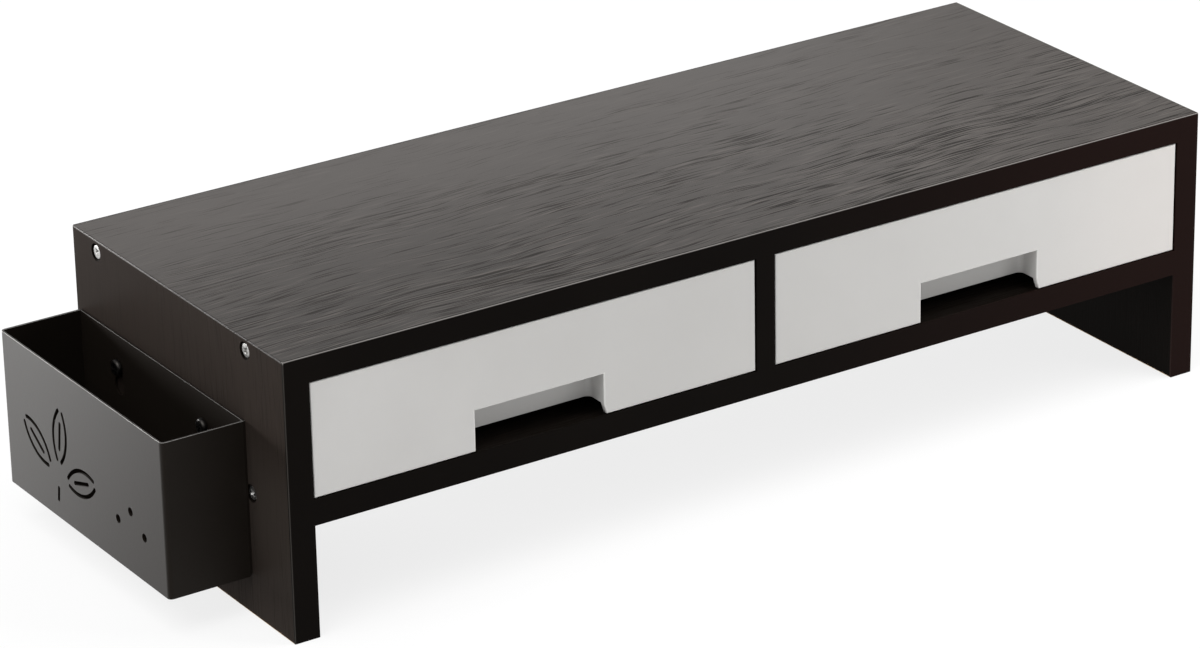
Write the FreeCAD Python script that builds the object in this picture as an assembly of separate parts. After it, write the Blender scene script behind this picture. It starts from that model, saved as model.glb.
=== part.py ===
import FreeCAD, Part
import math
import os

# Monitor stand: a riser of coated particle board with two moulded drawers under its top
# and a sheet-steel pen holder hung on its left side.
# Sizes are in millimetres. +Z is up and the drawers open towards -Y. The origin is on the
# table, under the middle of the whole object with its pen holder.

# Board carcass
stand_width = 500.0
stand_depth = 190.0
stand_height = 134.0
board = 12.5
divider_board = 10.0
leg_space = 53.8
edge_band = 1.0
edge_round = 0.6

# Back sheet, held in grooves cut in the boards round it
back_sheet = 3.0
back_sheet_inset = 6.0
groove_depth = 4.0
groove_side_gap = 0.15
groove_end_gap = 0.5

# Countersunk assembly screws
screw_front_inset = 33.0
screw_rear_inset = 22.0
screw_length = 35.0
screw_shank = 3.9
screw_head = 6.4
screw_head_rim = 0.3
screw_head_sink = 0.6
screw_tip = 4.0
screw_hole_gap = 0.1
screw_end_gap = 0.5
cross_span = 3.6
cross_width = 1.1
cross_depth = 1.6

# Divider: screws from below, dowels at the top
divider_screw_inset = 36.0
divider_rear_gap = 0.3
dowel_diameter = 6.0
dowel_length = 20.0
dowel_in_top = 8.0
dowel_gap = 0.1
dowel_end_gap = 0.5
dowel_chamfer = 0.8
dowel_inset = 48.0

# Drawers, each one moulding
drawer_side_gap = 0.6
drawer_top_gap = 0.3
drawer_bottom_gap = 0.3
drawer_rear_gap = 0.5
drawer_setback = 0.3
drawer_front_wall = 3.0
drawer_wall = 2.2
drawer_floor = 2.0
drawer_floor_rise = 5.0
drawer_wall_drop = 4.0
drawer_corner = 4.0
drawer_front_round = 0.9
drawer_floor_round = 1.5
drawer_rim_round = 0.6
drawer_rib = 2.0
drawer_rib_offset = 62.0

# Finger pull in the bottom edge of each drawer front
pull_width = 67.4
pull_height = 19.7
pull_depth = 12.5
pull_lip_height = 10.0
pull_wall = 1.8
pull_corner = 3.0
pull_relief = 1.5

# Pen holder
holder_reach = 41.5
holder_length = 150.5
holder_height = 75.0
holder_bottom = 19.0
holder_front_inset = 35.5
holder_sheet = 1.0
holder_edge_round = 0.25
holder_bend = 2.2
holder_fold = 2.0
holder_wall_gap = 0.2
holder_floor_gap = 0.1

# Hanging screws and keyholes
hang_drop = 16.0
hang_inset = 36.0
hang_lift = 9.0
hang_neck = 4.0
hang_head = 8.0
hang_head_height = 2.4
hang_head_round = 0.8
hang_head_gap = 0.3
hang_grip = 10.0
keyhole_slot = 4.4
keyhole_hole = 8.8
keyhole_seat_gap = 0.1

# Cut-outs in the outer wall of the pen holder: a sprig of three leaves and three dots
cut_width = 2.0
leaf_length = 30.0
leaf_half_width = 6.0
leaf_start = 8.0
leaf_spread = 65.0
leaf_bridge = 3.0
midrib_length = 15.0
sprig_along = 50.0
sprig_up = 19.0
sprig_tilt = -8.0
stem_length = 8.0
stem_start = 3.0
dot_diameter = 4.2
dot_along = 106.0
dot_up = 22.0
dot_pitch = 12.0
dot_rise = 8.0

# Planes of the carcass
left = holder_reach / 2 - stand_width / 2
right = left + stand_width
front = -stand_depth / 2
rear = stand_depth / 2
top = stand_height
middle = (left + right) / 2
inner_left = left + board
inner_right = right - board
shelf_bottom = leg_space
shelf_top = leg_space + board
bay_top = stand_height - board
bay_width = (inner_right - inner_left - divider_board) / 2
core_front = front + edge_band
core_rear = rear - edge_band
sheet_rear = rear - back_sheet_inset
sheet_front = sheet_rear - back_sheet

# Planes of the pen holder
holder_side = left - holder_reach
holder_front = front + holder_front_inset
holder_rear = holder_front + holder_length
holder_top = holder_bottom + holder_height
plate_outer = left - holder_wall_gap
plate_inner = plate_outer - holder_sheet

LINEAR_TOLERANCE = 1e-4
OVERCUT = 1.0


def vector(x, y, z):
    return FreeCAD.Vector(x, y, z)


def block(x0, x1, y0, y1, z0, z1):
    """A box between two opposite corners."""
    return Part.makeBox(x1 - x0, y1 - y0, z1 - z0, vector(x0, y0, z0))


def lies_on(edge, planes):
    """True where every end of the edge lies on all the named planes."""
    for axis, value in planes.items():
        for corner in edge.Vertexes:
            if abs(getattr(corner.Point, axis) - value) > LINEAR_TOLERANCE:
                return False
    return True


def round_edges(shape, radius, *choices, spare=None):
    """Fillet the edges that lie on any one of the choices, each a set of planes.

    Edges that lie on the spare planes stay sharp."""
    edges = [e for e in shape.Edges if any(lies_on(e, planes) for planes in choices)]
    if spare:
        edges = [e for e in edges if not lies_on(e, spare)]
    return shape.makeFillet(radius, edges)


def turned(profile):
    """A solid of revolution about Z from (radius, z) points."""
    points = [vector(radius, 0, z) for radius, z in profile]
    face = Part.Face(Part.makePolygon(points + points[:1]))
    return face.revolve(vector(0, 0, 0), vector(0, 0, 1), 360)


def placed(shape, point, direction):
    """The shape with its own +Z turned to the direction and its origin at the point."""
    result = shape.copy()
    turn = FreeCAD.Rotation(vector(0, 0, 1), direction)
    result.Placement = FreeCAD.Placement(point, turn)
    return result


def rounded_plan(x0, x1, y0, y1, front_radius, rear_radius, z0, z1):
    """An upright prism on a rectangle whose front and rear corners have their own radii."""
    corners = [
        (x0, y0, 180, front_radius),
        (x1, y0, 270, front_radius),
        (x1, y1, 0, rear_radius),
        (x0, y1, 90, rear_radius),
    ]
    runs = []
    for x, y, start, radius in corners:
        if radius <= 0:
            runs.append((None, vector(x, y, z0), vector(x, y, z0)))
            continue
        side_x = 1 if x == x0 else -1
        side_y = 1 if y == y0 else -1
        cx = x + side_x * radius
        cy = y + side_y * radius
        points = []
        for angle in (start, start + 45, start + 90):
            turn = math.radians(angle)
            points.append(vector(cx + radius * math.cos(turn), cy + radius * math.sin(turn), z0))
        runs.append((Part.Arc(*points).toShape(), points[0], points[2]))
    edges = []
    for index, (arc, begin, end) in enumerate(runs):
        if arc is not None:
            edges.append(arc)
        following = runs[(index + 1) % len(runs)][1]
        edges.append(Part.makeLine(end, following))
    face = Part.Face(Part.Wire(edges))
    return face.extrude(vector(0, 0, z1 - z0))


def cross_recess(reach):
    """The cutter of a cross-shaped driver recess, from the head's face along +Z."""
    half_span = cross_span / 2
    half_width = cross_width / 2
    wing = block(-half_span, half_span, -half_width, half_width, -OVERCUT, reach)
    return wing.fuse(wing.rotated(vector(0, 0, 0), vector(0, 0, 1), 90))


def countersunk_screw():
    """A countersunk screw along +Z, with the face of its head at the origin."""
    head = screw_head / 2
    shank = screw_shank / 2
    cone_end = screw_head_rim + head - shank
    body = turned([
        (0, 0),
        (head, 0),
        (head, screw_head_rim),
        (shank, cone_end),
        (shank, screw_length - screw_tip),
        (0, screw_length),
    ])
    return body.cut(cross_recess(cross_depth))


def countersunk_hole():
    """The hole of a countersunk screw: a 90 degree mouth and a bore with clearance."""
    head = screw_head / 2 + screw_hole_gap
    bore = screw_shank / 2 + screw_hole_gap
    outside = -screw_head_sink - OVERCUT
    mouth = head + screw_head_rim - outside
    bottom = screw_length + screw_end_gap
    return turned([
        (0, outside),
        (mouth, outside),
        (bore, screw_head_rim + head - bore),
        (bore, bottom),
        (0, bottom),
    ])


def sunk_places(face_x, direction):
    """Where the side screws lie: at two depths, in line with the top and the shelf."""
    heights = (top - board / 2, shelf_bottom + board / 2)
    depths = (front + screw_front_inset, rear - screw_rear_inset)
    sunk = face_x + direction * screw_head_sink
    return [vector(sunk, y, z) for z in heights for y in depths]


def hang_places():
    """Where the pen holder's screws enter the left side panel."""
    depths = (holder_front + hang_inset, holder_rear - hang_inset)
    return [vector(left, y, holder_top - hang_drop) for y in depths]


def divider_screw_places():
    """Where the divider's screws enter the underside of the shelf."""
    depths = (front + divider_screw_inset, sheet_front - divider_screw_inset)
    return [vector(middle, y, shelf_bottom + screw_head_sink) for y in depths]


def dowel_places():
    """The lower ends of the dowels between the divider and the top."""
    depths = (front + dowel_inset, sheet_front - dowel_inset)
    low = bay_top + dowel_in_top - dowel_length
    return [vector(middle, y, low) for y in depths]


def all_placed(shape, places, direction):
    return [placed(shape, place, direction) for place in places]


def cut_all(shape, cutters):
    for cutter in cutters:
        shape = shape.cut(cutter)
    return shape


def back_groove():
    """The room that the grooves leave for the edges of the back sheet."""
    return block(
        inner_left - groove_depth, inner_right + groove_depth,
        sheet_front - groove_side_gap, sheet_rear + groove_side_gap,
        shelf_top - groove_depth, bay_top + groove_depth,
    )


def side_panel(outer, inner):
    """One side panel, from its outer face to its inner face."""
    low, high = min(outer, inner), max(outer, inner)
    panel = block(low, high, core_front, core_rear, 0, top - edge_band)
    return panel.cut(back_groove())


side_holes = {
    "left": all_placed(countersunk_hole(), sunk_places(left, 1), vector(1, 0, 0)),
    "right": all_placed(countersunk_hole(), sunk_places(right, -1), vector(-1, 0, 0)),
}
divider_holes = all_placed(countersunk_hole(), divider_screw_places(), vector(0, 0, 1))


def left_side_panel():
    pilot = Part.makeCylinder(hang_neck / 2 + screw_hole_gap, hang_grip + screw_end_gap)
    pilots = all_placed(pilot, hang_places(), vector(1, 0, 0))
    return cut_all(side_panel(left, inner_left), side_holes["left"] + pilots)


def right_side_panel():
    return cut_all(side_panel(right, inner_right), side_holes["right"])


def dowel_holes():
    radius = dowel_diameter / 2 + dowel_gap
    bore = Part.makeCylinder(radius, dowel_length + 2 * dowel_end_gap)
    places = [place - vector(0, 0, dowel_end_gap) for place in dowel_places()]
    return all_placed(bore, places, vector(0, 0, 1))


def top_panel():
    panel = block(inner_left, inner_right, core_front, core_rear, bay_top, top)
    cutters = side_holes["left"] + side_holes["right"] + dowel_holes() + [back_groove()]
    return cut_all(panel, cutters)


def drawer_shelf():
    shelf = block(inner_left, inner_right, core_front, core_rear, shelf_bottom, shelf_top)
    cutters = side_holes["left"] + side_holes["right"] + divider_holes + [back_groove()]
    return cut_all(shelf, cutters)


def centre_divider():
    half = divider_board / 2
    divider = block(
        middle - half, middle + half,
        core_front, sheet_front - divider_rear_gap,
        shelf_top, bay_top,
    )
    return cut_all(divider, divider_holes + dowel_holes())


def back_panel():
    reach = groove_depth - groove_end_gap
    return block(
        inner_left - reach, inner_right + reach,
        sheet_front, sheet_rear,
        shelf_top - reach, bay_top + reach,
    )


def upright_band(outer, inner, face, core):
    """The strip on the front or rear edge of a side panel, rounded where it shows."""
    strip = block(
        min(outer, inner), max(outer, inner), min(face, core), max(face, core), 0, top
    )
    return round_edges(
        strip, edge_round, {"x": outer, "y": face}, {"y": face, "z": top}, {"x": outer, "z": top}
    )


def side_top_band(outer, inner):
    """The strip on the top edge of a side panel, between its front and rear strips."""
    strip = block(
        min(outer, inner), max(outer, inner), core_front, core_rear, top - edge_band, top
    )
    return round_edges(strip, edge_round, {"x": outer, "z": top})


def top_panel_band(face, core):
    strip = block(inner_left, inner_right, min(face, core), max(face, core), bay_top, top)
    return round_edges(strip, edge_round, {"y": face, "z": top})


def shelf_band(face, core):
    return block(
        inner_left, inner_right, min(face, core), max(face, core), shelf_bottom, shelf_top
    )


def divider_band():
    half = divider_board / 2
    return block(middle - half, middle + half, front, core_front, shelf_top, bay_top)


def dowel():
    radius = dowel_diameter / 2
    return turned([
        (0, 0),
        (radius - dowel_chamfer, 0),
        (radius, dowel_chamfer),
        (radius, dowel_length - dowel_chamfer),
        (radius - dowel_chamfer, dowel_length),
        (0, dowel_length),
    ])


def drawer(bay_left):
    """One moulded drawer: a tray on skirts, its taller front, and the finger pull."""
    x0 = bay_left + drawer_side_gap
    x1 = bay_left + bay_width - drawer_side_gap
    y0 = front + drawer_setback
    y1 = sheet_front - drawer_rear_gap
    z0 = shelf_top + drawer_bottom_gap
    z1 = bay_top - drawer_top_gap
    centre = (x0 + x1) / 2
    inner_y = y0 + drawer_front_wall
    floor_low = z0 + drawer_floor_rise
    wall_top = z1 - drawer_wall_drop
    inner_corner = drawer_corner - drawer_wall

    tray = rounded_plan(x0, x1, y0, y1, 0, drawer_corner, z0, wall_top)
    body = tray.fuse(block(x0, x1, y0, inner_y, z0, z1))
    hollow = (x0 + drawer_wall, x1 - drawer_wall, inner_y, y1 - drawer_wall, 0, inner_corner)
    body = body.cut(rounded_plan(*hollow, floor_low + drawer_floor, z1 + OVERCUT))
    body = body.cut(rounded_plan(*hollow, z0 - OVERCUT, floor_low))
    for side in (-1, 1):
        rib = centre + side * drawer_rib_offset
        body = body.fuse(block(
            rib - drawer_rib / 2, rib + drawer_rib / 2, inner_y, y1 - drawer_wall, z0, floor_low
        ))

    half = pull_width / 2
    pull_rear = y0 + pull_depth
    pull_top = z0 + pull_height + pull_lip_height
    body = body.fuse(rounded_plan(
        centre - half - pull_wall, centre + half + pull_wall,
        y0 + drawer_front_wall / 2, pull_rear + pull_wall,
        0, pull_corner + pull_wall,
        floor_low, pull_top + pull_wall,
    ))
    body = body.cut(rounded_plan(
        centre - half, centre + half, inner_y, pull_rear, 0, pull_corner, z0 - OVERCUT, pull_top
    ))
    body = body.cut(block(
        centre - half, centre + half, y0 - OVERCUT, inner_y + OVERCUT, z0 - OVERCUT, z0 + pull_height
    ))
    # A slanted relief in the front wall, below the pocket's right wall
    relief = Part.Face(Part.makePolygon([
        vector(centre + half, y0 - OVERCUT, floor_low),
        vector(centre + half, y0 - OVERCUT, z0 - OVERCUT),
        vector(centre + half + pull_relief, y0 - OVERCUT, z0 - OVERCUT),
        vector(centre + half + pull_relief, y0 - OVERCUT, z0),
        vector(centre + half, y0 - OVERCUT, floor_low),
    ]))
    body = body.cut(relief.extrude(vector(0, drawer_front_wall + OVERCUT, 0)))
    body = round_edges(body.removeSplitter(), drawer_front_round, {"y": y0})
    body = round_edges(body, drawer_floor_round, {"z": floor_low + drawer_floor})
    rims = ({"z": wall_top}, {"z": pull_top + pull_wall})
    body = round_edges(body, drawer_rim_round, *rims, spare={"y": inner_y})
    return round_edges(body, drawer_rim_round, {"y": inner_y, "z": z1})


def holder_plan(inset, z0, z1):
    """The holder's plan, shrunk by an inset: square at the plate, bent at the outer wall."""
    outer_x = holder_side + inset
    radius = holder_bend - inset
    y0 = holder_front + inset
    y1 = holder_rear - inset
    diagonal = radius * math.cos(math.radians(45))
    square = [
        Part.makeLine(vector(outer_x + radius, y0, z0), vector(plate_inner, y0, z0)),
        Part.makeLine(vector(plate_inner, y0, z0), vector(plate_inner, y1, z0)),
        Part.makeLine(vector(plate_inner, y1, z0), vector(outer_x + radius, y1, z0)),
    ]
    rear_bend = Part.Arc(
        vector(outer_x + radius, y1, z0),
        vector(outer_x + radius - diagonal, y1 - radius + diagonal, z0),
        vector(outer_x, y1 - radius, z0),
    )
    front_bend = Part.Arc(
        vector(outer_x, y0 + radius, z0),
        vector(outer_x + radius - diagonal, y0 + radius - diagonal, z0),
        vector(outer_x + radius, y0, z0),
    )
    straight = Part.makeLine(vector(outer_x, y1 - radius, z0), vector(outer_x, y0 + radius, z0))
    wire = Part.Wire(square + [rear_bend.toShape(), straight, front_bend.toShape()])
    return Part.Face(wire).extrude(vector(0, 0, z1 - z0))


def through_wall(face_wire):
    """A cutter through the outer wall from a closed wire drawn in the plane x = 0."""
    sheet = Part.Face(face_wire).extrude(vector(holder_sheet + 2 * OVERCUT, 0, 0))
    sheet.translate(vector(holder_side - OVERCUT, 0, 0))
    return sheet


def on_wall(along, up):
    """A point of the outer wall: along from its rear end, up from its lower edge."""
    return vector(0, holder_rear - along, holder_bottom + up)


def straight_cut(along, up, angle, start, length):
    """A slot with round ends that leaves a point at an angle, from start over a length."""
    turn = math.radians(angle)
    half = cut_width / 2
    flow = (math.cos(turn), math.sin(turn))

    def point(forward, aside):
        return on_wall(
            along + forward * flow[0] - aside * flow[1], up + forward * flow[1] + aside * flow[0]
        )

    begin = start + half
    end = start + length - half
    edges = [
        Part.makeLine(point(begin, half), point(end, half)),
        Part.Arc(point(end, half), point(end + half, 0), point(end, -half)).toShape(),
        Part.makeLine(point(end, -half), point(begin, -half)),
        Part.Arc(point(begin, -half), point(begin - half, 0), point(begin, half)).toShape(),
    ]
    return through_wall(Part.Wire(edges))


def leaf_side_cut(along, up, angle, side):
    """One curved side of a leaf outline, whose ends stop short of the leaf's tips."""
    turn = math.radians(angle)
    radius = (leaf_length ** 2 / 4 + leaf_half_width ** 2) / (2 * leaf_half_width)
    forward = leaf_start + leaf_length / 2
    sink = radius - leaf_half_width
    reach = math.asin((leaf_length / 2) / radius) - leaf_bridge / radius
    half = cut_width / 2

    def point(size, swing):
        ahead = forward + size * math.sin(swing)
        aside = side * (size * math.cos(swing) - sink)
        return on_wall(
            along + ahead * math.cos(turn) - aside * math.sin(turn),
            up + ahead * math.sin(turn) + aside * math.cos(turn),
        )

    cap = half / radius
    outer, inner = radius + half, radius - half
    edges = [
        Part.Arc(point(outer, -reach), point(outer, 0), point(outer, reach)).toShape(),
        Part.Arc(point(outer, reach), point(radius, reach + cap), point(inner, reach)).toShape(),
        Part.Arc(point(inner, reach), point(inner, 0), point(inner, -reach)).toShape(),
        Part.Arc(point(inner, -reach), point(radius, -reach - cap), point(outer, -reach)).toShape(),
    ]
    return through_wall(Part.Wire(edges))


def wall_cuts():
    """All cutters of the outer wall's pattern."""
    cuts = [straight_cut(sprig_along, sprig_up, sprig_tilt - 90, stem_start, stem_length)]
    for step in (-1, 0, 1):
        angle = 90 + sprig_tilt + step * leaf_spread
        for side in (-1, 1):
            cuts.append(leaf_side_cut(sprig_along, sprig_up, angle, side))
        midrib_start = leaf_start + (leaf_length - midrib_length) / 2
        cuts.append(straight_cut(sprig_along, sprig_up, angle, midrib_start, midrib_length))
    for index in range(3):
        centre = on_wall(dot_along + index * dot_pitch, dot_up + (index % 2) * dot_rise)
        circle = Part.makeCircle(dot_diameter / 2, centre, vector(1, 0, 0))
        cuts.append(through_wall(Part.Wire([circle])))
    return cuts


def pen_holder_wall():
    """The strip bent round the front, the outer side and the rear of the pen holder."""
    outside = holder_plan(0, holder_bottom, holder_top)
    inside = holder_plan(holder_sheet, holder_bottom - OVERCUT, holder_top + OVERCUT)
    strip = round_edges(
        outside.cut(inside), holder_edge_round, {"z": holder_top}, spare={"x": plate_inner}
    )
    return cut_all(strip, wall_cuts())


def keyhole(place):
    """A hanging hole: a narrow slot on the screw and a wide hole below it."""
    z = place.z - keyhole_seat_gap
    half = keyhole_slot / 2
    x0 = plate_inner - OVERCUT
    x1 = plate_outer + OVERCUT
    slot = block(x0, x1, place.y - half, place.y + half, z - hang_lift, z)
    for radius, height in ((half, z), (keyhole_hole / 2, z - hang_lift)):
        round_end = Part.makeCylinder(
            radius, x1 - x0, vector(x0, place.y, height), vector(1, 0, 0)
        )
        slot = slot.fuse(round_end)
    return slot


def pen_holder_back():
    """The back plate and, folded from it, the floor that lies inside the bent wall."""
    fold_in = holder_fold - holder_sheet
    far = holder_side + holder_sheet + holder_floor_gap
    z0 = holder_bottom
    outer_45 = holder_fold * (1 - math.cos(math.radians(45)))
    inner_45 = holder_sheet + fold_in * (1 - math.cos(math.radians(45)))

    def point(inward, up):
        return vector(plate_outer - inward, holder_front, z0 + up)

    span = plate_outer - far
    edges = [
        Part.makeLine(point(0, holder_height), point(0, holder_fold)),
        Part.Arc(point(0, holder_fold), point(outer_45, outer_45), point(holder_fold, 0)).toShape(),
        Part.makeLine(point(holder_fold, 0), point(span, 0)),
        Part.makeLine(point(span, 0), point(span, holder_sheet)),
        Part.makeLine(point(span, holder_sheet), point(holder_fold, holder_sheet)),
        Part.Arc(
            point(holder_fold, holder_sheet), point(inner_45, inner_45),
            point(holder_sheet, holder_fold),
        ).toShape(),
        Part.makeLine(point(holder_sheet, holder_fold), point(holder_sheet, holder_height)),
        Part.makeLine(point(holder_sheet, holder_height), point(0, holder_height)),
    ]
    folded = Part.Face(Part.Wire(edges)).extrude(vector(0, holder_length, 0))
    plate_zone = block(plate_inner, plate_outer, holder_front, holder_rear, z0, holder_top)
    inset = holder_sheet + holder_floor_gap
    room = plate_zone.fuse(holder_plan(inset, z0 - OVERCUT, z0 + holder_fold + OVERCUT))
    shape = round_edges(folded.common(room), holder_edge_round, {"z": holder_top})
    return cut_all(shape, [keyhole(place) for place in hang_places()])


def hanging_screw():
    """A pan-head screw along +Z, with the panel's face at the origin."""
    neck = hang_neck / 2
    head = hang_head / 2
    under = -(holder_wall_gap + holder_sheet + hang_head_gap)
    crown = under - hang_head_height
    body = turned([
        (0, crown),
        (head - hang_head_round, crown),
        (head, crown + hang_head_round),
        (head, under),
        (neck, under),
        (neck, hang_grip - screw_tip),
        (0, hang_grip),
    ])
    recess = cross_recess(cross_depth)
    recess.translate(vector(0, 0, crown))
    return body.cut(recess)


def write(name, *shapes):
    """Write one node, which holds one solid or a group of separate solids."""
    solids = [solid for shape in shapes for solid in shape.Solids]
    node = solids[0] if len(solids) == 1 else Part.makeCompound(solids)
    node.exportStep("parts/" + name + ".step")
    volume = sum(solid.Volume for solid in solids) / 1000
    valid = "valid" if node.isValid() else "NOT VALID"
    print(f"{name}: {len(solids)} solids, {volume:.2f} cm3, {valid}")


os.makedirs("parts", exist_ok=True)

write("top_panel", top_panel())
write("left_side_panel", left_side_panel())
write("right_side_panel", right_side_panel())
write("drawer_shelf", drawer_shelf())
write("centre_divider", centre_divider())
write("back_panel", back_panel())

for side, outer, inner in (("left", left, inner_left), ("right", right, inner_right)):
    write(side + "_side_front_band", upright_band(outer, inner, front, core_front))
    write(side + "_side_rear_band", upright_band(outer, inner, rear, core_rear))
    write(side + "_side_top_band", side_top_band(outer, inner))
for end, face, core in (("front", front, core_front), ("rear", rear, core_rear)):
    write("top_" + end + "_band", top_panel_band(face, core))
    write("shelf_" + end + "_band", shelf_band(face, core))
write("divider_front_band", divider_band())

screw = countersunk_screw()
write("left_side_screws", *all_placed(screw, sunk_places(left, 1), vector(1, 0, 0)))
write("right_side_screws", *all_placed(screw, sunk_places(right, -1), vector(-1, 0, 0)))
write("divider_screws", *all_placed(screw, divider_screw_places(), vector(0, 0, 1)))
write("divider_dowels", *all_placed(dowel(), dowel_places(), vector(0, 0, 1)))

write("left_drawer", drawer(inner_left))
write("right_drawer", drawer(inner_right - bay_width))

write("pen_holder_wall", pen_holder_wall())
write("pen_holder_back", pen_holder_back())
write("pen_holder_screws", *all_placed(hanging_screw(), hang_places(), vector(1, 0, 0)))
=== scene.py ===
# %% [markdown]
# # A monitor stand with two drawers and a pen holder
#
# The stand is a low shelf of black coated boards. Two pale drawers slide in under its top, and a
# box of thin sheet steel hangs on its left side. The solid model of every board, drawer and screw
# comes ready made, so this lesson is mostly about finishes: what each surface is made of, how
# light meets it, and how a few nodes can say the same thing. Only the screws are made afresh.
#
# The first cell loads that model. Every length here is in metres. X runs along the width, Y
# from the drawer fronts to the back, and Z up from the table.

# %% Load the model
import math

import bmesh
import bpy
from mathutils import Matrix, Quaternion, Vector


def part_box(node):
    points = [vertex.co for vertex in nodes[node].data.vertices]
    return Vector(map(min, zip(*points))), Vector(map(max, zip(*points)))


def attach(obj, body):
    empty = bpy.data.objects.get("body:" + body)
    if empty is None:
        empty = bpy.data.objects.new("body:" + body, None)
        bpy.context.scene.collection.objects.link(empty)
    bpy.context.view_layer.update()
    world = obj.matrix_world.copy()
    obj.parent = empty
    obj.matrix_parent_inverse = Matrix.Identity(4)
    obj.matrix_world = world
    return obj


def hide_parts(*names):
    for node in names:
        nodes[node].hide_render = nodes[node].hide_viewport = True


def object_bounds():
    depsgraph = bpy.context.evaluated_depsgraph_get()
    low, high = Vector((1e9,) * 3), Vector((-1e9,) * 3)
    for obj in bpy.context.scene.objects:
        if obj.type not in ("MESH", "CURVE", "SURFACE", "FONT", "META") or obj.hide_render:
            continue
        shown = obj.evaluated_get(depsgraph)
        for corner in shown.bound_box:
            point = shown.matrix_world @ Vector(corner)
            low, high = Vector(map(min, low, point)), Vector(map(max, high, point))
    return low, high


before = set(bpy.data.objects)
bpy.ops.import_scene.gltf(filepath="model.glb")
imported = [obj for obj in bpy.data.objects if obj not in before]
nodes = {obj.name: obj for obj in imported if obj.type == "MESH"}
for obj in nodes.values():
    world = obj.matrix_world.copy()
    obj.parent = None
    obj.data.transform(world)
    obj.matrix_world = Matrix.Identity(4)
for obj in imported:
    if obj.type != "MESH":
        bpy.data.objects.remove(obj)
cad_low, cad_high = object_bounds()
mm = 0.001
print("pieces in the model:", len(nodes))
print("size in mm:", [round(side / mm, 1) for side in cad_high - cad_low])

# %% [markdown]
# ## Places on the stand
#
# Painted light and shade follow the object: the top is painted darker at its front left, and the
# sides are painted paler low down at the front. So the finishes measure from the stand's own ends,
# which are read from the model here. A finish that is written this way still fits when a size of
# the stand changes.

# %% Places on the stand
stand_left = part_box("left_side_panel")[0].x
stand_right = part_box("right_side_panel")[1].x
stand_front, stand_rear, stand_top = cad_low.y, cad_high.y, cad_high.z
print("left and right end in mm:", round(stand_left / mm, 1), round(stand_right / mm, 1))
print("front, rear and top in mm:",
      [round(place / mm, 1) for place in (stand_front, stand_rear, stand_top)])

# %% [markdown]
# ## The camera
#
# A product picture of a long, low object is usually taken with a long lens from a few steps
# away, because a short lens would make the near corner look swollen. The camera is placed by
# what a photographer would note down: the way it faces, how far it looks down, a slight roll,
# and its distance from the point it looks at.

# %% Camera
camera_turn = math.radians(-32.851)
camera_drop = math.radians(23.512)
camera_roll = math.radians(-1.133)
camera_distance = 2.3712
camera_target = Vector((-0.00643, 0.00122, 0.06135))

towards_camera = Vector((
    math.sin(camera_turn) * math.cos(camera_drop),
    -math.cos(camera_turn) * math.cos(camera_drop),
    math.sin(camera_drop),
))
lens = bpy.data.cameras.new("product_camera")
lens.sensor_fit = "HORIZONTAL"
lens.sensor_width = 36.0
lens.lens = 152.66
lens.clip_start = 0.1
lens.clip_end = 50.0
camera = bpy.data.objects.new("product_camera", lens)
camera.location = camera_target + towards_camera * camera_distance
camera.rotation_mode = "QUATERNION"
level = (-towards_camera).to_track_quat("-Z", "Y")
camera.rotation_quaternion = level @ Quaternion((0, 0, 1), camera_roll)
bpy.context.scene.collection.objects.link(camera)
bpy.context.scene.camera = camera
bpy.context.scene.view_settings.view_transform = "Standard"
print("camera at", [round(value, 3) for value in camera.location])

# %% [markdown]
# ## Node maths as plain Python
#
# A finish is a small program: it reads a place on the surface and works out a colour, a
# roughness and a height there. Written with bare node calls such a program is hard to read. So
# one class, `Wire`, stands for the output of a node, and `+`, `*` and the other operators on it
# add the Math nodes. A second class, `Graph`, has one method that adds any node at all. Both work
# in material trees and in Geometry Nodes trees.

# %% Wires
class Wire:
    """One output of a node. Arithmetic on it adds Math nodes to its graph."""

    def __init__(self, graph, socket):
        self.graph = graph
        self.socket = socket

    def math(self, operation, *values):
        return self.graph.add("ShaderNodeMath", {"operation": operation}, enumerate(values))

    def __add__(self, other):
        return self.math("ADD", self, other)

    def __sub__(self, other):
        return self.math("SUBTRACT", self, other)

    def __rsub__(self, other):
        return self.math("SUBTRACT", other, self)

    def __mul__(self, other):
        return self.math("MULTIPLY", self, other)

    def __truediv__(self, other):
        return self.math("DIVIDE", self, other)

    def __rtruediv__(self, other):
        return self.math("DIVIDE", other, self)

    def __pow__(self, other):
        return self.math("POWER", self, other)

    def __abs__(self):
        return self.math("ABSOLUTE", self)

    __radd__ = __add__
    __rmul__ = __mul__

    def larger(self, other):
        return self.math("MAXIMUM", self, other)

    def smaller(self, other):
        return self.math("MINIMUM", self, other)

    def output(self, name):
        """Another output of the same node."""
        return Wire(self.graph, self.socket.node.outputs[name])


print("operators ready: + - * / ** abs")

# %% Graphs
class Graph:
    """A node tree that is filled by calls."""

    def __init__(self, tree):
        self.tree = tree
        tree.nodes.clear()

    def add(self, kind, settings=None, values=(), out=0):
        """Add a node: its settings first, then the value or the link of each socket."""
        node = self.tree.nodes.new(kind)
        for name, value in (settings or {}).items():
            setattr(node, name, value)
        pairs = values.items() if isinstance(values, dict) else values
        for name, value in pairs:
            if isinstance(value, Wire):
                self.tree.links.new(value.socket, node.inputs[name])
            else:
                node.inputs[name].default_value = value
        return Wire(self, node.outputs[out]) if node.outputs else None


print("graphs ready: each call of add makes one node")
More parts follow.
